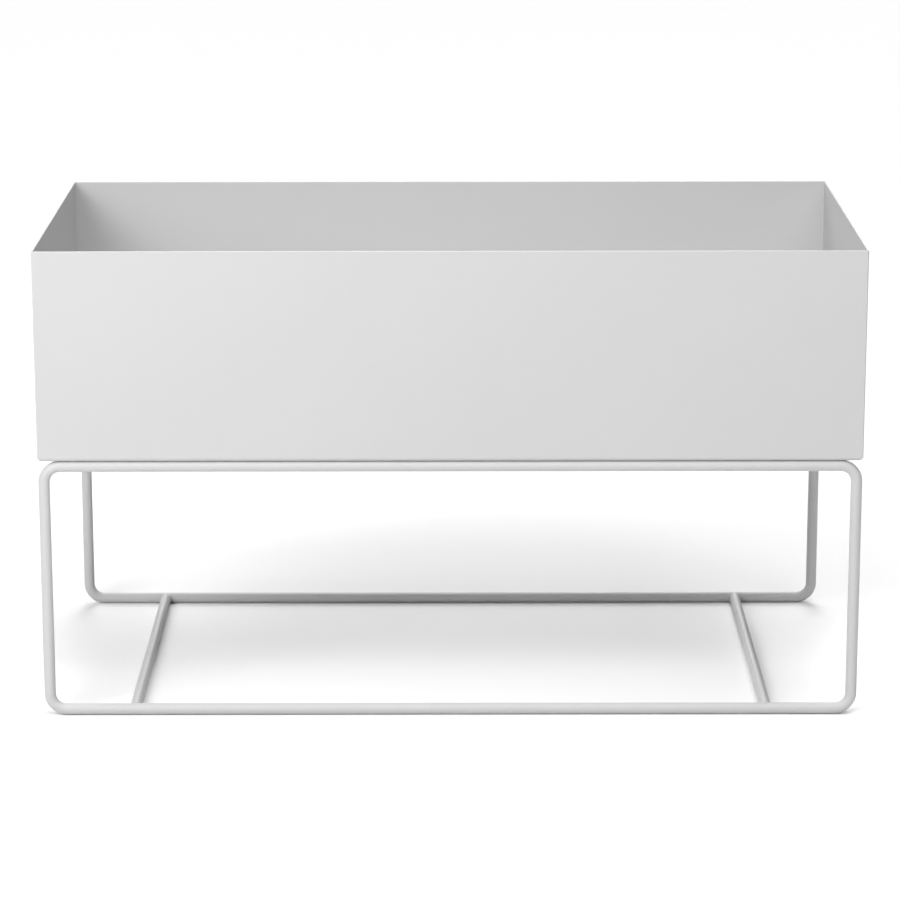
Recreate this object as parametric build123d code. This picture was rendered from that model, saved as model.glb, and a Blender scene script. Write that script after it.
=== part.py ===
from build123d import *
import os

# Raised planter: a folded sheet-steel box bolted onto a stand of bent and welded round bar.
# Millimetres. X is the width (left to right), Y the depth (front is -Y), Z is up.
# The origin is the middle of the footprint, on the surface that the planter stands on.

# Overall sizes
overall_width = 800.0
overall_depth = 400.0
stand_height = 258.0
box_height = 207.0

# Planter box: one sheet, folded up from the floor, with four welded and ground upright corners
sheet_thickness = 1.5
floor_bend_inside_radius = 2.5
corner_ground_radius = 1.5
rim_edge_radius = 0.5

# Stand: two closed loops of round bar, and four straight crossbars between them
bar_diameter = 11.0
loop_bend_radius = 16.0  # to the middle of the bar
crossbar_inset = 89.0  # from the end of the planter to the middle of a crossbar
cope_depth = 2.6  # depth of the saddle milled into each crossbar end

# Corner plates: welded into the corners of the stand's top, with a clearance hole for a stud
plate_length = 30.0
plate_thickness = 3.0
plate_seat = 3.0  # from the middle of a bar to the plate's upper edge, which sits on the bar's flank
plate_clipped_corner = 7.0  # clears the weld where crossbar meets loop
plate_free_corner_radius = 5.0
stud_hole_clearance = 0.75  # all round the stud's flange

# M6 fasteners
stud_diameter = 6.0
stud_length = 12.0
stud_flange_diameter = 7.5
stud_flange_thickness = 1.0
stud_end_chamfer = 0.8
washer_diameter = 18.0
washer_thickness = 1.6
washer_hole_clearance = 0.2  # all round the stud
nut_across_flats = 10.0
nut_height = 6.0
nut_collar_height = 1.6
nut_collar_wall = 0.9
nut_corner_chamfer = 0.5
nut_ring_wall = 0.6

# Derived sizes and places
bar_radius = bar_diameter / 2
loop_y = overall_depth / 2 - bar_radius
crossbar_x = overall_width / 2 - crossbar_inset
lower_bar_z = bar_radius
upper_bar_z = stand_height - bar_radius
stud_offset = plate_seat + plate_length / 2  # from the middle of either bar to the stud
nut_top_z = stand_height - plate_thickness - washer_thickness
nut_collar_bore_radius = stud_diameter / 2 + nut_ring_wall
left, right, front, rear = -1, 1, -1, 1


def folded_form(width, depth, base_z, bend_radius):
    """The solid inside a tray's faces: square upright corners, long and short lower edges rounded."""
    height = stand_height + box_height - base_z

    def side(plane, length):
        outline = plane * Pos(0, base_z + height / 2) * Rectangle(length, height)
        return fillet(outline.vertices().sort_by(Axis.Z)[:2], bend_radius)

    along_depth = extrude(side(Plane.XZ, width), depth / 2, both=True)
    along_width = extrude(side(Plane.YZ, depth), width / 2, both=True)
    return along_depth & along_width


def planter_box():
    """Open-topped box, with bends along the floor's edges and a rim whose sharp edges are taken off."""
    outside_radius = floor_bend_inside_radius + sheet_thickness
    outside = folded_form(overall_width, overall_depth, stand_height, outside_radius)
    upright_corners = outside.edges().filter_by(Axis.Z)
    outside = fillet(upright_corners, corner_ground_radius)
    inside = folded_form(
        overall_width - 2 * sheet_thickness,
        overall_depth - 2 * sheet_thickness,
        stand_height + sheet_thickness,
        floor_bend_inside_radius,
    )
    box = outside - inside
    rim = box.faces().sort_by(Axis.Z)[-1]
    return fillet(rim.edges(), rim_edge_radius)


def loop(side):
    """One closed loop of bar: top run, two legs, bottom run and four bends, flush with the box's face."""
    centre_line = (
        Plane.XZ.offset(-side * loop_y)
        * Pos(0, stand_height / 2)
        * RectangleRounded(overall_width - bar_diameter, stand_height - bar_diameter, loop_bend_radius)
    ).wire()
    section = Plane(origin=centre_line @ 0, z_dir=centre_line % 0) * Circle(bar_radius)
    return sweep(section, path=centre_line)


def loop_run(side, z):
    """The space that a loop's top or bottom run takes up between the two end bends."""
    return Pos(0, side * loop_y, z) * Rot(0, 90, 0) * Cylinder(bar_radius, overall_width)


def crossbar(side, z):
    """Straight bar from loop to loop, each end milled to a shallow saddle that seats on the loop."""
    length = 2 * (loop_y - bar_radius + cope_depth)
    bar = Pos(side * crossbar_x, 0, z) * Rot(90, 0, 0) * Cylinder(bar_radius, length)
    return bar - loop_run(front, z) - loop_run(rear, z)


def stud_places():
    """Where the four studs stand, as (x side, y side, x, y)."""
    return [
        (x_side, y_side, x_side * (crossbar_x - stud_offset), y_side * (loop_y - stud_offset))
        for y_side in (front, rear)
        for x_side in (left, right)
    ]


def corner_plate(x_side, y_side, x, y):
    """Flat plate flush with the top of the stand, with two edges ground to sit on the bars' flanks."""
    half = plate_length / 2
    free = (-x_side * half, -y_side * half)
    welded = (x_side * half, y_side * half)
    outline = Rectangle(plate_length, plate_length)
    outline = fillet(outline.vertices().sort_by_distance(free)[0], plate_free_corner_radius)
    outline = chamfer(outline.vertices().sort_by_distance(welded)[0], plate_clipped_corner)
    outline -= Circle(stud_flange_diameter / 2 + stud_hole_clearance)
    plate = Pos(x, y, stand_height - plate_thickness) * extrude(outline, plate_thickness)
    upper_crossbar = Pos(x_side * crossbar_x, 0, upper_bar_z) * Rot(90, 0, 0) * Cylinder(bar_radius, overall_depth)
    return plate - loop_run(y_side, upper_bar_z) - upper_crossbar


def stud(x, y):
    """Threaded stud that hangs from the box's floor on its welded flange; the thread is plain here."""
    shank = Cylinder(stud_diameter / 2, stud_length, align=(Align.CENTER, Align.CENTER, Align.MAX))
    shank = chamfer(shank.edges().sort_by(Axis.Z)[0], stud_end_chamfer)
    flange = Cylinder(
        stud_flange_diameter / 2, stud_flange_thickness, align=(Align.CENTER, Align.CENTER, Align.MAX)
    )
    return Pos(x, y, stand_height) * (shank + flange)


def plate_washer(x, y):
    """Large washer that spreads the nut's load over the plate's clearance hole."""
    outline = Circle(washer_diameter / 2) - Circle(stud_diameter / 2 + washer_hole_clearance)
    return Pos(x, y, nut_top_z) * extrude(outline, washer_thickness)


def lock_nut(x, y):
    """Hexagon with chamfered corners, and below it the round collar that holds the nylon ring."""
    hexagon_height = nut_height - nut_collar_height
    hexagon = RegularPolygon(nut_across_flats / 2, 6, major_radius=False)
    corner_radius = hexagon.vertices()[0].center().length
    turned = extrude(Circle(corner_radius), -hexagon_height)
    turned = chamfer(turned.edges().filter_by(GeomType.CIRCLE), nut_corner_chamfer)
    collar = Pos(0, 0, -nut_height) * Cylinder(
        nut_collar_bore_radius + nut_collar_wall,
        nut_collar_height,
        align=(Align.CENTER, Align.CENTER, Align.MIN),
    )
    bore = extrude(Circle(stud_diameter / 2), -nut_height)
    recess = Pos(0, 0, -nut_height) * extrude(Circle(nut_collar_bore_radius), nut_collar_height)
    nut = (extrude(hexagon, -hexagon_height) & turned) + collar - bore - recess
    return Pos(x, y, nut_top_z) * nut


def nut_ring(x, y):
    """Nylon ring in the nut's collar, which grips the stud."""
    outline = Circle(nut_collar_bore_radius) - Circle(stud_diameter / 2)
    return Pos(x, y, nut_top_z - nut_height) * extrude(outline, nut_collar_height)


def at_each_stud(make):
    """The same fastener at all four studs, as one group of separate solids."""
    return Compound([make(x, y).solid() for _, _, x, y in stud_places()])


nodes = {
    "planter_box": planter_box(),
    "front_loop": loop(front),
    "rear_loop": loop(rear),
    "weld_studs": at_each_stud(stud),
    "plate_washers": at_each_stud(plate_washer),
    "lock_nuts": at_each_stud(lock_nut),
    "nut_rings": at_each_stud(nut_ring),
}
for side_name, side in (("left", left), ("right", right)):
    nodes[f"lower_crossbar_{side_name}"] = crossbar(side, lower_bar_z)
    nodes[f"upper_crossbar_{side_name}"] = crossbar(side, upper_bar_z)
for x_side, y_side, x, y in stud_places():
    corner_name = ("front" if y_side == front else "rear") + ("_left" if x_side == left else "_right")
    nodes[f"corner_plate_{corner_name}"] = corner_plate(x_side, y_side, x, y)

os.makedirs("parts", exist_ok=True)
for name, shape in nodes.items():
    export_step(shape, f"parts/{name}.step")
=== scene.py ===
import math

import bmesh
import bpy
from mathutils import Matrix, Vector


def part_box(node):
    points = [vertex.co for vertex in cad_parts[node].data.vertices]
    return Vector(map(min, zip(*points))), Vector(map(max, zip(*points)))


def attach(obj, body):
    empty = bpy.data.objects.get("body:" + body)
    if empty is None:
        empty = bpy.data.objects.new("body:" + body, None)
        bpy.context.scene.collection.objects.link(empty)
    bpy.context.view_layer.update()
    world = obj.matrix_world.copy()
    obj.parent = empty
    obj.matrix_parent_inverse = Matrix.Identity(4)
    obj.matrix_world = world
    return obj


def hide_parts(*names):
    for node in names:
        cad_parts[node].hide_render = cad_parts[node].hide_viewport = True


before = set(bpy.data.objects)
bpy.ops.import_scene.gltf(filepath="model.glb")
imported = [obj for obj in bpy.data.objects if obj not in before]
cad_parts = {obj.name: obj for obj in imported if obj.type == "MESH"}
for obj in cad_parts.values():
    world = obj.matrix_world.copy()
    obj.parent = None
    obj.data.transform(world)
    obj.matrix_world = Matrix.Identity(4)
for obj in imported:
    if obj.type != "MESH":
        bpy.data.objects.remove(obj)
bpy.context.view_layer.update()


# The stand's two loops: 11 mm round steel bar, bent cold round a former at its four corners and closed by
# a butt weld that is dressed flush. The whole stand is welded up first and then powder coated in one
# piece.

BAR_RADIUS = 0.0055
BAR_SIDES = 48
LOOP_BEND_RADIUS = 0.016  # to the middle of the bar
LOOP_BEND_STEPS = 16
SHARP_ANGLE = math.radians(35)
LOOP_MERGE = 0.00001  # vertices nearer than this are one


class Signal:
    """One output of a shader node. Arithmetic on it adds the Math nodes that work it out."""

    def __init__(self, tree, socket=None):
        self.tree = tree
        self.socket = socket

    def node(self, kind, settings=None, sockets=None, output=0):
        """Adds a node: its settings first, then the values or links of its sockets."""
        made = self.tree.nodes.new("ShaderNode" + kind)
        for name, setting in (settings or {}).items():
            setattr(made, name, setting)
        for name, value in (sockets or {}).items():
            if isinstance(value, Signal):
                self.tree.links.new(value.socket, made.inputs[name])
            else:
                made.inputs[name].default_value = value
        return Signal(self.tree, made.outputs[output])

    def math(self, operation, first, second):
        return self.node("Math", {"operation": operation}, {0: first, 1: second})

    def __add__(self, other):
        return self.math("ADD", self, other)

    def __radd__(self, other):
        return self.math("ADD", other, self)

    def __mul__(self, other):
        return self.math("MULTIPLY", self, other)

    def __rmul__(self, other):
        return self.math("MULTIPLY", other, self)

    def noise(self, lump, detail=2.0, roughness=0.5):
        """Noise whose lumps are about lump metres across, at this signal's coordinates."""
        sockets = {"Vector": self, "Scale": 1 / lump, "Detail": detail, "Roughness": roughness}
        return self.node("TexNoise", {"noise_dimensions": "3D"}, sockets)

    def shade(self, low, high):
        """The colour between low and high that this signal picks."""
        return self.node("Mix", {"data_type": "RGBA"}, {0: self, 6: (*low, 1), 7: (*high, 1)}, output=2)


def surface(name, specular, metallic):
    """Starts a material, and gives it with its shader and its coordinates in metres."""
    material = bpy.data.materials.new(name)
    material.use_nodes = True
    shader = material.node_tree.nodes["Principled BSDF"]
    shader.inputs["Specular IOR Level"].default_value = specular
    shader.inputs["Metallic"].default_value = metallic
    place = Signal(material.node_tree).node("TexCoord", output=3)
    return material, shader, place


def coat_surface(shader, colour, roughness, relief, depth):
    """Feeds a shader its colour, its roughness and a relief that is depth metres deep."""
    bump = relief.node("Bump", sockets={"Strength": 1.0, "Distance": depth, "Height": relief})
    for socket, signal in (("Base Color", colour), ("Roughness", roughness), ("Normal", bump)):
        signal.tree.links.new(signal.socket, shader.inputs[socket])


def powder_coat(name, thin_coat, full_coat):
    """Matt polyester powder: a shallow orange peel with a fine grain, and hardly any drift of shade."""
    material, shader, place = surface(name, specular=0.4, metallic=0.0)
    drift = place.noise(0.12, detail=3.0, roughness=0.6)
    peel = place.noise(0.0022, detail=1.0)
    grain = place.noise(0.0005, detail=2.0)
    speck = place.noise(0.0012, detail=1.0)
    colour = (drift * 0.7 + speck * 0.3).shade(thin_coat, full_coat)
    roughness = 0.40 + drift * 0.10 + grain * 0.10
    coat_surface(shader, colour, roughness, peel * 0.75 + grain * 0.25, depth=0.00006)
    return material


stand_coat = powder_coat("stand_powder_coat", (0.440, 0.440, 0.440), (0.460, 0.460, 0.460))


def piece(bm, name, material, slot, *nodes):
    """Turns a finished bmesh into a piece of the planter, which may stand for some CAD nodes."""
    bmesh.ops.recalc_face_normals(bm, faces=bm.faces)
    for face in bm.faces:
        face.smooth = True
    for edge in bm.edges:
        edge.smooth = edge.calc_face_angle(0) < SHARP_ANGLE
    mesh = bpy.data.meshes.new(name)
    bm.to_mesh(mesh)
    bm.free()
    mesh.materials.append(material)
    made = bpy.data.objects.new(name, mesh)
    bpy.context.scene.collection.objects.link(made)
    even_shading = made.modifiers.new("even_shading", "WEIGHTED_NORMAL")
    even_shading.keep_sharp = True
    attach(made, "root")
    if nodes:
        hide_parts(*nodes)


def edges_among(verts):
    """The edges that join these vertices to one another."""
    chosen = set(verts)
    joining = [edge for vert in verts for edge in vert.link_edges if set(edge.verts) <= chosen]
    return list(dict.fromkeys(joining))


def extrude_ring(bm, ring, move):
    """Extrudes a ring of edges, moves the new ring by a matrix, and gives its edges."""
    made = bmesh.ops.extrude_edge_only(bm, edges=ring)["geom"]
    verts = [item for item in made if isinstance(item, bmesh.types.BMVert)]
    bmesh.ops.transform(bm, matrix=move, verts=verts)
    return edges_among(verts)


def bar_loop(name, node):
    """Carries the bar's round section along the top run, and on round the loop to where it started."""
    low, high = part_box(node)
    width = high.x - low.x - 2 * (BAR_RADIUS + LOOP_BEND_RADIUS)
    height = high.z - low.z - 2 * (BAR_RADIUS + LOOP_BEND_RADIUS)
    place = Vector((-width / 2, (low.y + high.y) / 2, high.z - BAR_RADIUS))
    heading = Vector((1, 0, 0))
    quarter_turn = Matrix.Rotation(math.radians(90), 3, "Y")
    bm = bmesh.new()
    upright = Matrix.Translation(place) @ quarter_turn.to_4x4()
    bmesh.ops.create_circle(bm, segments=BAR_SIDES, radius=BAR_RADIUS, matrix=upright)
    ring = bm.edges[:]
    for run in (width, height, width, height):
        ring = extrude_ring(bm, ring, Matrix.Translation(heading * run))
        place += heading * run
        inward = quarter_turn @ heading
        former = place + inward * LOOP_BEND_RADIUS
        bend = bmesh.ops.spin(
            bm,
            geom=ring,
            cent=former,
            axis=(0, 1, 0),
            angle=math.radians(90),
            steps=LOOP_BEND_STEPS,
        )
        ring = [item for item in bend["geom_last"] if isinstance(item, bmesh.types.BMEdge)]
        place = former + heading * LOOP_BEND_RADIUS
        heading = inward
    bmesh.ops.remove_doubles(bm, verts=bm.verts, dist=LOOP_MERGE)
    piece(bm, name, stand_coat, "stand_powder_coat", node)


bar_loop("front_bar_loop", "front_loop")
bar_loop("rear_bar_loop", "rear_loop")


# The four crossbars, two on the floor and two under the box: the same bar, cut straight, with both ends
# milled to a shallow saddle that seats on the loops.

LOOP_Y = sum(corner.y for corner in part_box("rear_loop")) / 2


def crossbar(name, node):
    low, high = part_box(node)
    middle = (low + high) / 2
    bm = bmesh.new()
    lying = Matrix.Translation((middle.x, low.y, middle.z)) @ Matrix.Rotation(math.radians(90), 4, "X")
    bmesh.ops.create_circle(bm, segments=BAR_SIDES, radius=BAR_RADIUS, matrix=lying)
    extrude_ring(bm, bm.edges[:], Matrix.Translation((0, high.y - low.y, 0)))
    for vert in bm.verts:
        rise = vert.co.z - middle.z
        saddle = LOOP_Y - math.sqrt(max(0.0, BAR_RADIUS**2 - rise**2))
        vert.co.y = math.copysign(min(high.y, saddle), vert.co.y)
    bmesh.ops.holes_fill(bm, edges=bm.edges, sides=0)
    piece(bm, name, stand_coat, "stand_powder_coat", node)


LEVELS = ("lower", "upper")
SIDES = ("left", "right")
for level in LEVELS:
    for side in SIDES:
        crossbar(f"{level}_{side}_bar", f"{level}_crossbar_{side}")


# The welds between crossbars and loops: a small fillet that runs up one flank of the crossbar, over its
# top and down the other flank, laid with a fine wire. The faint even ripples are from the pool, rounded
# over by the coat.

WELD_RADIUS = 0.0011
WELD_STANDOFF = 0.0003  # from the crook between two bars out to the middle of the weld
WELD_RIPPLE_PITCH = 0.0009
WELD_RIPPLE_SWELL = 0.035
WELD_SIDES = 16
STEPS_PER_RIPPLE = 5
SADDLE_REACH = 0.0022  # the least distance between a loop's middle plane and the weld
SADDLE_RISE = 0.0044  # the most that the weld climbs above the crossbar's middle
SADDLE_BLEND = 6  # how crisply the weld turns from the flanks on to the top
WELD_START = math.radians(-50)  # where a weld starts on the crossbar's flank, from level with its middle
WELD_LENGTH_FACTOR = 1.1  # a weld's length, over the same arc on the bar's surface
WELD_END_TAPER = 0.75  # how much of its radius a weld loses at its ends
WELD_TAPER_POWER = 12  # how near to its ends that happens
WELD_SIGHT = 0.01  # the share of a run that is looked ahead and back to find its heading


def weld_run(bm, path, length):
    """Adds one run of weld from path(0) to path(1), tapered at both ends."""
    steps = STEPS_PER_RIPPLE * round(length / WELD_RIPPLE_PITCH)
    heading = Vector((0, 0, 1))
    turn = Matrix.Identity(4)
    before = ring = None
    for step in range(steps + 1):
        share = step / steps
        ahead = path(share + WELD_SIGHT) - path(share - WELD_SIGHT)
        turn = heading.rotation_difference(ahead).to_matrix().to_4x4() @ turn
        heading = ahead
        swell = 1 + WELD_RIPPLE_SWELL * math.cos(math.tau * step / STEPS_PER_RIPPLE)
        taper = 1 - WELD_END_TAPER * abs(2 * share - 1) ** WELD_TAPER_POWER
        here = Matrix.Translation(path(share)) @ turn @ Matrix.Scale(WELD_RADIUS * swell * taper, 4)
        if ring:
            ring = extrude_ring(bm, ring, here @ before.inverted())
        else:
            cap = bmesh.ops.create_circle(bm, segments=WELD_SIDES, radius=1, matrix=here, cap_ends=True)
            ring = edges_among(cap["verts"])
        before = here
    bmesh.ops.edgeloop_fill(bm, edges=ring)


def crossbar_welds(name, node):
    """The fillets round both ends of one crossbar."""
    low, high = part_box(node)
    middle = (low + high) / 2
    sweep = math.radians(180) - 2 * WELD_START
    bm = bmesh.new()
    for end in (-1, 1):

        def crook(share):
            around = WELD_START + share * sweep
            across = (BAR_RADIUS + WELD_STANDOFF) * math.cos(around)
            away = (across**SADDLE_BLEND + SADDLE_REACH**SADDLE_BLEND) ** (1 / SADDLE_BLEND)
            climb = BAR_RADIUS * math.sin(around)
            rise = climb / (1 + (climb / SADDLE_RISE) ** SADDLE_BLEND) ** (1 / SADDLE_BLEND)
            return Vector((middle.x + across, end * (LOOP_Y - away), middle.z + rise))

        weld_run(bm, crook, WELD_LENGTH_FACTOR * BAR_RADIUS * sweep)
    piece(bm, name, stand_coat, "stand_powder_coat")


for level in LEVELS:
    for side in SIDES:
        crossbar_welds(f"{level}_{side}_bar_welds", f"{level}_crossbar_{side}")


# The four corner plates: flat steel with a clipped corner, a rounded corner and a clearance hole, let
# into the corners between the top runs and the upper crossbars, flush with the stand's top, and welded
# from below.

PLATE_HOLE_RADIUS = 0.0045
PLATE_CLIPPED_CORNER = 0.007
PLATE_ROUND_CORNER = 0.005
PLATE_EDGE_RADIUS = 0.0004
PLATE_RIM_START = 1.5 * PLATE_HOLE_RADIUS  # rims nearer the hole's middle than this are the hole's own
PLATE_WELD_LENGTH = 0.016
SQUARE_EDGE = math.radians(80)  # an edge that turns more than this is a square one
LEVEL_TOLERANCE = 0.0001
CORNERS = ("front_left", "front_right", "rear_left", "rear_right")


def corner_plate(name, node):
    low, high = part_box(node)
    middle = (low + high) / 2
    outward = Vector((math.copysign(1, middle.x), math.copysign(1, middle.y), 0))
    lower_face = Matrix.Translation((middle.x, middle.y, low.z))
    bm = bmesh.new()
    bmesh.ops.create_grid(bm, x_segments=1, y_segments=1, size=(high.x - low.x) / 2, matrix=lower_face)
    by_corner = sorted(bm.verts, key=lambda vert: (vert.co - middle).dot(outward))
    free_corner, welded_corner = by_corner[0], by_corner[-1]
    for corner, size, segments in (
        (free_corner, PLATE_ROUND_CORNER, 8),
        (welded_corner, PLATE_CLIPPED_CORNER, 1),
    ):
        bmesh.ops.bevel(
            bm,
            geom=[corner],
            offset=size,
            segments=segments,
            profile=0.5,
            affect="VERTICES",
            material=-1,
        )
    bmesh.ops.delete(bm, geom=bm.faces[:], context="FACES_ONLY")
    bmesh.ops.create_circle(bm, segments=BAR_SIDES, radius=PLATE_HOLE_RADIUS, matrix=lower_face)
    bmesh.ops.triangle_fill(bm, edges=bm.edges[:], use_beauty=True, use_dissolve=False, normal=(0, 0, 1))
    made = bmesh.ops.extrude_face_region(bm, geom=bm.faces[:])["geom"]
    upper_verts = [item for item in made if isinstance(item, bmesh.types.BMVert)]
    bmesh.ops.translate(bm, verts=upper_verts, vec=(0, 0, high.z - low.z))
    bmesh.ops.recalc_face_normals(bm, faces=bm.faces)
    rims = [
        edge
        for edge in bm.edges
        if edge.calc_face_angle(0) > SQUARE_EDGE
        and abs(edge.verts[0].co.z - edge.verts[1].co.z) < LEVEL_TOLERANCE
        and (edge.verts[0].co.xy - middle.xy).length > PLATE_RIM_START
    ]
    bmesh.ops.bevel(
        bm,
        geom=rims,
        offset=PLATE_EDGE_RADIUS,
        segments=3,
        profile=0.5,
        affect="EDGES",
        material=-1,
    )
    piece(bm, name, stand_coat, "stand_powder_coat", node)


def plate_welds(name, node, crossbar_node):
    """One run under each welded edge of a plate, in the crook between the plate and the bar's flank."""
    low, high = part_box(node)
    middle = (low + high) / 2
    crossbar_low, crossbar_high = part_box(crossbar_node)
    crossbar_x = (crossbar_low.x + crossbar_high.x) / 2
    flank = math.sqrt(BAR_RADIUS**2 - (low.z - (high.z - BAR_RADIUS)) ** 2)
    seat_x = crossbar_x - math.copysign(flank + WELD_STANDOFF, middle.x)
    seat_y = math.copysign(LOOP_Y - flank - WELD_STANDOFF, middle.y)
    seat_z = low.z - WELD_STANDOFF
    half = PLATE_WELD_LENGTH / 2
    bm = bmesh.new()

    def along_loop(share):
        return Vector((middle.x + half * (2 * share - 1), seat_y, seat_z))

    def along_crossbar(share):
        return Vector((seat_x, middle.y + half * (2 * share - 1), seat_z))

    weld_run(bm, along_loop, PLATE_WELD_LENGTH)
    weld_run(bm, along_crossbar, PLATE_WELD_LENGTH)
    piece(bm, name, stand_coat, "stand_powder_coat")


for corner in CORNERS:
    corner_plate(f"{corner}_plate", f"corner_plate_{corner}")
    side = corner.split("_")[1]
    plate_welds(f"{corner}_plate_welds", f"corner_plate_{corner}", f"upper_crossbar_{side}")


# The planter box: one sheet of 1.5 mm steel. Its four walls are folded up from the floor on a press
# brake, its upright corners are welded and ground smooth outside, and the raw rim is only broken by hand
# before coating.

SHEET_THICKNESS = 0.0015
FOLD_INSIDE_RADIUS = 0.0025
FOLD_STEPS = 8
CORNER_GROUND_RADIUS = 0.0015
CORNER_INSIDE_RADIUS = 0.0008
CORNER_STEPS = 5
RIM_EDGE_RADIUS = 0.0005
RIM_EDGE_STEPS = 4
SHEET_MERGE = 0.00002  # vertices nearer than this are one

box_coat = powder_coat("box_powder_coat", (0.440, 0.440, 0.440), (0.460, 0.460, 0.460))


def folded_tray(bm, low, high, fold_radius, corner_radius):
    """Adds the faces of an open tray: folds along the floor's four edges, and rounded upright corners."""
    middle = (low + high) / 2
    block = Matrix.Translation(middle) @ Matrix.Diagonal((*(high - low), 1))
    before = set(bm.faces)
    verts = bmesh.ops.create_cube(bm, size=1, matrix=block)["verts"]
    top = max(set(bm.faces) - before, key=lambda face: face.calc_center_median().z)
    bmesh.ops.delete(bm, geom=[top], context="FACES_ONLY")
    floor_edges = edges_among([vert for vert in verts if vert.co.z < middle.z])
    bmesh.ops.bevel(
        bm,
        geom=floor_edges,
        offset=fold_radius,
        segments=FOLD_STEPS,
        profile=0.5,
        affect="EDGES",
        material=-1,
    )
    bm.normal_update()
    corners = []
    for edge in bm.edges:
        if len(edge.link_faces) == 2 and not before & set(edge.link_faces):
            one, other = (face.normal for face in edge.link_faces)
            if max(abs(one.x * other.y), abs(one.y * other.x)) > 0.01:
                corners.append(edge)
    bmesh.ops.bevel(
        bm,
        geom=corners,
        offset=corner_radius,
        segments=CORNER_STEPS,
        profile=0.5,
        affect="EDGES",
        material=-1,
    )


box_low, box_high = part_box("planter_box")
bm = bmesh.new()
folded_tray(bm, box_low, box_high, FOLD_INSIDE_RADIUS + SHEET_THICKNESS, CORNER_GROUND_RADIUS)
rim_ring = [edge for edge in bm.edges if edge.is_boundary]
rim_ring = extrude_ring(bm, rim_ring, Matrix.Identity(4))
for vert in {vert for edge in rim_ring for vert in edge.verts}:
    toward = Vector((math.copysign(1, vert.co.x), math.copysign(1, vert.co.y)))
    outside_centre = toward * (box_high.xy - Vector((1, 1)) * CORNER_GROUND_RADIUS)
    inside_centre = toward * (box_high.xy - Vector((1, 1)) * (SHEET_THICKNESS + CORNER_INSIDE_RADIUS))
    outward = vert.co.xy - outside_centre
    vert.co.xy = inside_centre + outward * (CORNER_INSIDE_RADIUS / CORNER_GROUND_RADIUS)
inside_low = box_low + Vector((1, 1, 1)) * SHEET_THICKNESS
inside_high = box_high - Vector((1, 1, 0)) * SHEET_THICKNESS
folded_tray(bm, inside_low, inside_high, FOLD_INSIDE_RADIUS, CORNER_INSIDE_RADIUS)
bmesh.ops.remove_doubles(bm, verts=bm.verts, dist=SHEET_MERGE)
for vert in bm.verts:
    for axis in range(3):
        vert.co[axis] = min(max(vert.co[axis], box_low[axis]), box_high[axis])
bmesh.ops.recalc_face_normals(bm, faces=bm.faces)
rim = [
    edge
    for edge in bm.edges
    if all(vert.co.z > box_high.z - LEVEL_TOLERANCE for vert in edge.verts)
    and edge.calc_face_angle(0) > SQUARE_EDGE
]
bmesh.ops.bevel(
    bm,
    geom=rim,
    offset=RIM_EDGE_RADIUS,
    segments=RIM_EDGE_STEPS,
    profile=0.5,
    affect="EDGES",
    material=-1,
)
piece(bm, "folded_box", box_coat, "box_powder_coat", "planter_box")


# The four weld studs: copper-flashed M6 studs, shot onto the underside of the box by their flanges, so
# that its floor stays watertight. Their threads are rolled, and their ends have a lead-in.

THREAD_PITCH = 0.001
THREAD_STEPS = 36
THREAD_MERGE = 0.000005  # vertices nearer than this are one
THREAD_ROOT_WIDTH = 1 / 4  # the flat between threads, as a share of the pitch
THREAD_CREST_START = 9 / 16
THREAD_CREST_END = 11 / 16
STUD_RADIUS = 0.003
STUD_ROOT_RADIUS = 0.00245
STUD_FLANGE_THICKNESS = 0.001
STUD_LEAD_IN = 0.0008
FLANGE_EDGE_RADIUS = 0.0002
FLANGE_CORE_RADIUS = 0.001  # the flange is a ring from here out, with its bore hidden inside the stud
FLANGE_OVERLAP = 0.0001  # how far the thread runs on into the flange
ROUND_STEPS = 48

stud_places = []
for corner in CORNERS:
    plate_low, plate_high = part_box(f"corner_plate_{corner}")
    stud_places.append((plate_low + plate_high) / 2)


def bare_metal(name, dull, bright, roughness, streak):
    """Plated steel: a metal whose brightness and gloss drift a little, with fine marks from its making."""
    material, shader, place = surface(name, specular=0.5, metallic=1.0)
    drift = place.noise(0.004, detail=3.0)
    marks = place.noise(streak, detail=2.0)
    colour = (drift * 0.6 + marks * 0.4).shade(dull, bright)
    coat_surface(shader, colour, roughness + drift * 0.12 + marks * 0.08, marks, depth=0.00001)
    return material


def outline_edges(bm, points, closed):
    """Joins (radius, height) points into a line of edges in the XZ plane."""
    verts = [bm.verts.new((radius, 0, height)) for radius, height in points]
    pairs = list(zip(verts, verts[1:] + verts[:1] if closed else verts[1:]))
    return verts + [bm.edges.new(pair) for pair in pairs]


def turned(bm, points, steps):
    """Adds the solid that a closed outline of (radius, height) points sweeps round the upright axis."""
    line = outline_edges(bm, points, closed=True)
    bmesh.ops.spin(
        bm,
        geom=line,
        cent=(0, 0, 0),
        axis=(0, 0, 1),
        angle=math.tau,
        steps=steps,
        use_merge=True,
    )


def repeat_at_studs(bm):
    """Sets the fastener that is made on the upright axis at all four studs."""
    made = bm.verts[:] + bm.edges[:] + bm.faces[:]
    for place in stud_places:
        copy = bmesh.ops.duplicate(bm, geom=made)["geom"]
        verts = [item for item in copy if isinstance(item, bmesh.types.BMVert)]
        bmesh.ops.translate(bm, verts=verts, vec=(place.x, place.y, 0))
    first_verts = [item for item in made if isinstance(item, bmesh.types.BMVert)]
    bmesh.ops.delete(bm, geom=first_verts, context="VERTS")


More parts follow.
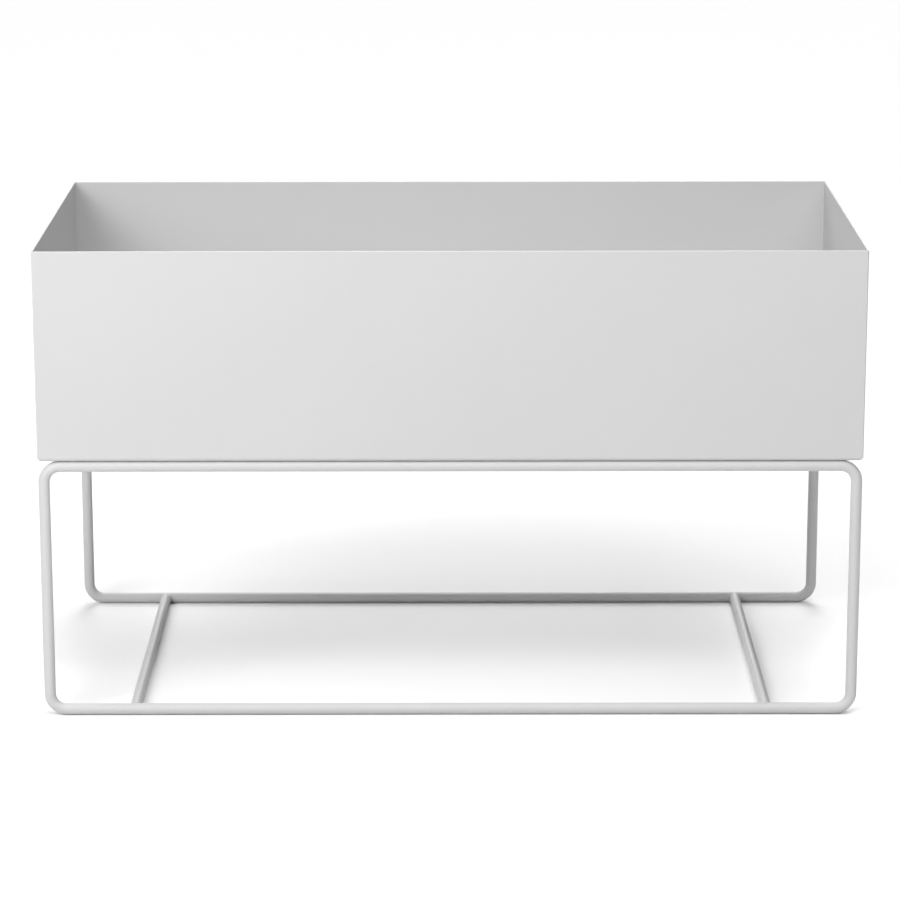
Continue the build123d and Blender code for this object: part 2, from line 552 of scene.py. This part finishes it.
stud_low, stud_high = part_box("weld_studs")
stud_end = stud_low.z
flange_z = stud_high.z - STUD_FLANGE_THICKNESS
turns = math.ceil((flange_z - stud_end) / THREAD_PITCH) + 1
thread_line = []
for turn in range(turns):
    start = stud_end + (turn - 1) * THREAD_PITCH
    thread_line += [
        (STUD_ROOT_RADIUS, start),
        (STUD_ROOT_RADIUS, start + THREAD_PITCH * THREAD_ROOT_WIDTH),
        (STUD_RADIUS, start + THREAD_PITCH * THREAD_CREST_START),
        (STUD_RADIUS, start + THREAD_PITCH * THREAD_CREST_END),
    ]
thread_line.append((STUD_ROOT_RADIUS, stud_end + (turns - 1) * THREAD_PITCH))
bm = bmesh.new()
bmesh.ops.spin(
    bm,
    geom=outline_edges(bm, thread_line, closed=False),
    cent=(0, 0, 0),
    axis=(0, 0, 1),
    dvec=(0, 0, THREAD_PITCH / THREAD_STEPS),
    angle=math.tau,
    steps=THREAD_STEPS,
)
bmesh.ops.remove_doubles(bm, verts=bm.verts, dist=THREAD_MERGE)
for height, away in ((stud_end, -1), (flange_z + FLANGE_OVERLAP, 1)):
    bmesh.ops.bisect_plane(
        bm,
        geom=bm.verts[:] + bm.edges[:] + bm.faces[:],
        plane_co=(0, 0, height),
        plane_no=(0, 0, away),
        clear_outer=True,
    )
bmesh.ops.holes_fill(bm, edges=[edge for edge in bm.edges if edge.is_boundary], sides=0)
for vert in bm.verts:
    radius = vert.co.xy.length
    most = STUD_RADIUS - STUD_LEAD_IN + (vert.co.z - stud_end)
    if radius > most:
        vert.co.xy *= most / radius
flange_radius = (stud_high.x - stud_low.x) / 2 - (stud_places[1].x - stud_places[0].x) / 2
turned(
    bm,
    [
        (FLANGE_CORE_RADIUS, flange_z),
        (flange_radius - FLANGE_EDGE_RADIUS, flange_z),
        (flange_radius, flange_z + FLANGE_EDGE_RADIUS),
        (flange_radius, stud_high.z),
        (FLANGE_CORE_RADIUS, stud_high.z),
    ],
    steps=ROUND_STEPS,
)
repeat_at_studs(bm)
copper_flash = bare_metal(
    "copper_flashed_steel",
    dull=(0.52, 0.33, 0.24),
    bright=(0.70, 0.49, 0.37),
    roughness=0.26,
    streak=0.0003,
)
piece(bm, "threaded_studs", copper_flash, "copper_flashed_steel", "weld_studs")


# The four plate washers: zinc-plated M6 washers, stamped from strip, that spread each nut's load over the
# clearance hole in its corner plate. Stamping leaves one face slightly rolled over at its edges.

WASHER_BORE_RADIUS = 0.0032
WASHER_ROLLOVER = 0.0004
WASHER_ROLLOVER_MIDDLE = 0.3  # where the roll-over's middle point lies, as a share of it
WASHER_BURR = 0.0001
WASHER_STEPS = 64

washer_low, washer_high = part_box("plate_washers")
washer_radius = (washer_high.x - washer_low.x) / 2 - (stud_places[1].x - stud_places[0].x) / 2
rolled = WASHER_ROLLOVER * WASHER_ROLLOVER_MIDDLE
bm = bmesh.new()
turned(
    bm,
    [
        (WASHER_BORE_RADIUS, washer_low.z),
        (washer_radius - WASHER_ROLLOVER, washer_low.z),
        (washer_radius - rolled, washer_low.z + rolled),
        (washer_radius, washer_low.z + WASHER_ROLLOVER),
        (washer_radius, washer_high.z - WASHER_BURR),
        (washer_radius - WASHER_BURR, washer_high.z),
        (WASHER_BORE_RADIUS, washer_high.z),
    ],
    steps=WASHER_STEPS,
)
repeat_at_studs(bm)
zinc_plate = bare_metal(
    "zinc_plated_steel",
    dull=(0.55, 0.56, 0.57),
    bright=(0.67, 0.68, 0.69),
    roughness=0.24,
    streak=0.0005,
)
piece(bm, "stamped_washers", zinc_plate, "zinc_plated_steel", "plate_washers")


# The four M6 lock nuts, cold formed and zinc plated: a hexagon with chamfered corners, and below it a
# round collar that is rolled in over the nylon ring.

NUT_ACROSS_FLATS = 0.010
NUT_SIDES = 48
NUT_CHAMFER = 0.0005
NUT_CHAMFER_STEPS = 4
NUT_COLLAR_HEIGHT = 0.0016
NUT_COLLAR_RADIUS = 0.0045
NUT_RECESS_RADIUS = 0.0036
NUT_BORE_RADIUS = 0.0026
NUT_COLLAR_LIP = 0.0002

nut_low, nut_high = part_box("lock_nuts")
collar_z = nut_low.z + NUT_COLLAR_HEIGHT
nut_corner_radius = NUT_ACROSS_FLATS / 2 / math.cos(math.radians(30))
nut_line = [
    (NUT_RECESS_RADIUS - NUT_COLLAR_LIP, nut_low.z),
    (NUT_COLLAR_RADIUS - 2 * NUT_COLLAR_LIP, nut_low.z),
    (NUT_COLLAR_RADIUS, nut_low.z + 2 * NUT_COLLAR_LIP),
    (NUT_COLLAR_RADIUS, collar_z),
]
for step in range(NUT_CHAMFER_STEPS + 1):
    rise = NUT_CHAMFER * step / NUT_CHAMFER_STEPS
    nut_line.append((nut_corner_radius - NUT_CHAMFER + rise, collar_z + rise))
for step in range(NUT_CHAMFER_STEPS + 1):
    rise = NUT_CHAMFER * step / NUT_CHAMFER_STEPS
    nut_line.append((nut_corner_radius - rise, nut_high.z - NUT_CHAMFER + rise))
nut_line += [
    (NUT_BORE_RADIUS + NUT_CHAMFER, nut_high.z),
    (NUT_BORE_RADIUS, nut_high.z - NUT_CHAMFER),
    (NUT_BORE_RADIUS, collar_z),
    (NUT_RECESS_RADIUS, collar_z),
    (NUT_RECESS_RADIUS, nut_low.z + NUT_COLLAR_LIP),
]
bm = bmesh.new()
turned(bm, nut_line, steps=NUT_SIDES)
for vert in bm.verts:
    radius = vert.co.xy.length
    from_flat = math.remainder(math.atan2(vert.co.y, vert.co.x), math.radians(60))
    flat_radius = NUT_ACROSS_FLATS / 2 / math.cos(from_flat)
    if radius > flat_radius:
        vert.co.xy *= flat_radius / radius
repeat_at_studs(bm)
piece(bm, "hex_lock_nuts", zinc_plate, "zinc_plated_steel", "lock_nuts")


# The nylon rings that the nuts' collars hold. They are pressed in plain, and the stud's thread cuts into
# them, which is what keeps the nuts from working loose.

RING_LEAD_IN = 0.0003
RING_CLEARANCE = 0.00005  # between the ring and the nut's recess

ring_low, ring_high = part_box("nut_rings")
bm = bmesh.new()
turned(
    bm,
    [
        (NUT_BORE_RADIUS + RING_LEAD_IN, ring_low.z),
        (NUT_RECESS_RADIUS - RING_LEAD_IN, ring_low.z),
        (NUT_RECESS_RADIUS - RING_CLEARANCE, ring_low.z + RING_LEAD_IN),
        (NUT_RECESS_RADIUS - RING_CLEARANCE, ring_high.z),
        (NUT_BORE_RADIUS, ring_high.z),
        (NUT_BORE_RADIUS, ring_low.z + RING_LEAD_IN),
    ],
    steps=ROUND_STEPS,
)
repeat_at_studs(bm)
nylon, shader, place = surface("nylon", specular=0.45, metallic=0.0)
cloud = place.noise(0.002, detail=2.0)
skin = place.noise(0.0003, detail=2.0)
natural = cloud.shade((0.74, 0.74, 0.69), (0.81, 0.81, 0.77))
coat_surface(shader, natural, 0.38 + skin * 0.16, skin, depth=0.00001)
piece(bm, "nylon_rings", nylon, "nylon", "nut_rings")


# The studio: a plain pale floor without an edge in sight, soft light from large panels, and the camera.

FLOOR_HALF_SIZE = 30.0
AIM = Vector((0, 0, 0.25))  # what the lights point at
CAMERA_LENS = 139.74
CAMERA_PLACE = (-0.00194, -3.47925, 1.08416)
CAMERA_PITCH = math.radians(90 - 13.949)
CAMERA_YAW = -0.0005
CAMERA_ROLL = -0.0012

bm = bmesh.new()
bmesh.ops.create_grid(bm, x_segments=1, y_segments=1, size=FLOOR_HALF_SIZE)
floor_mesh = bpy.data.meshes.new("floor")
bm.to_mesh(floor_mesh)
bm.free()
floor = bpy.data.objects.new("floor", floor_mesh)
bpy.context.scene.collection.objects.link(floor)
floor_paint, shader, place = surface("floor_paint", specular=0.0, metallic=0.0)
wash = place.noise(0.6, detail=3.0)
pale = wash.shade((0.798, 0.798, 0.798), (0.802, 0.802, 0.802))
coat_surface(shader, pale, 0.92 + wash * 0.06, wash, depth=0.00001)
floor_mesh.materials.append(floor_paint)


def soft_light(name, kind, toward, power):
    """Adds a light that shines from toward on to the middle of the planter."""
    lamp = bpy.data.lights.new(name, kind)
    lamp.energy = power
    light = bpy.data.objects.new(name, lamp)
    bpy.context.scene.collection.objects.link(light)
    light.location = AIM + toward
    light.rotation_euler = toward.to_track_quat("Z", "Y").to_euler()
    return lamp


def far_panel(name, azimuth, elevation, spread, strength):
    """A large panel far away, in degrees: azimuth 0 shines from the front, and 90 from the right."""
    turn, rise = math.radians(azimuth), math.radians(elevation)
    toward = Vector((math.sin(turn) * math.cos(rise), -math.cos(turn) * math.cos(rise), math.sin(rise)))
    soft_light(name, "SUN", toward, strength).angle = math.radians(spread)


def near_panel(name, place, width, watts):
    """A square panel close to the planter, in metres."""
    soft_light(name, "AREA", Vector(place) - AIM, watts).size = width


far_panel("front_left_panel", 330, 35, 32, 1.43)
far_panel("front_right_panel", 30, 50, 25, 0.68)
far_panel("ceiling_panel", 90, 80, 25, 0.68)
far_panel("rear_ceiling_panel", 180, 65, 30, 0.85)
far_panel("rear_panel", 180, 35, 25, 1.42)
far_panel("rear_left_panel", 225, 20, 30, 0.79)
near_panel("overhead_panel", (0, -0.6, 1.8), 1.2, 19.7)
near_panel("left_fill_panel", (-1.0, -1.2, 1.0), 0.8, 9.5)

world = bpy.data.worlds.new("studio")
world.color = (0, 0, 0)
bpy.context.scene.world = world
bpy.context.scene.view_settings.view_transform = "Standard"

camera = bpy.data.objects.new("camera", bpy.data.cameras.new("camera"))
bpy.context.scene.collection.objects.link(camera)
camera.data.lens = CAMERA_LENS
camera.matrix_world = (
    Matrix.Translation(CAMERA_PLACE)
    @ Matrix.Rotation(CAMERA_YAW, 4, "Z")
    @ Matrix.Rotation(CAMERA_PITCH, 4, "X")
    @ Matrix.Rotation(CAMERA_ROLL, 4, "Z")
)
bpy.context.scene.camera = camera
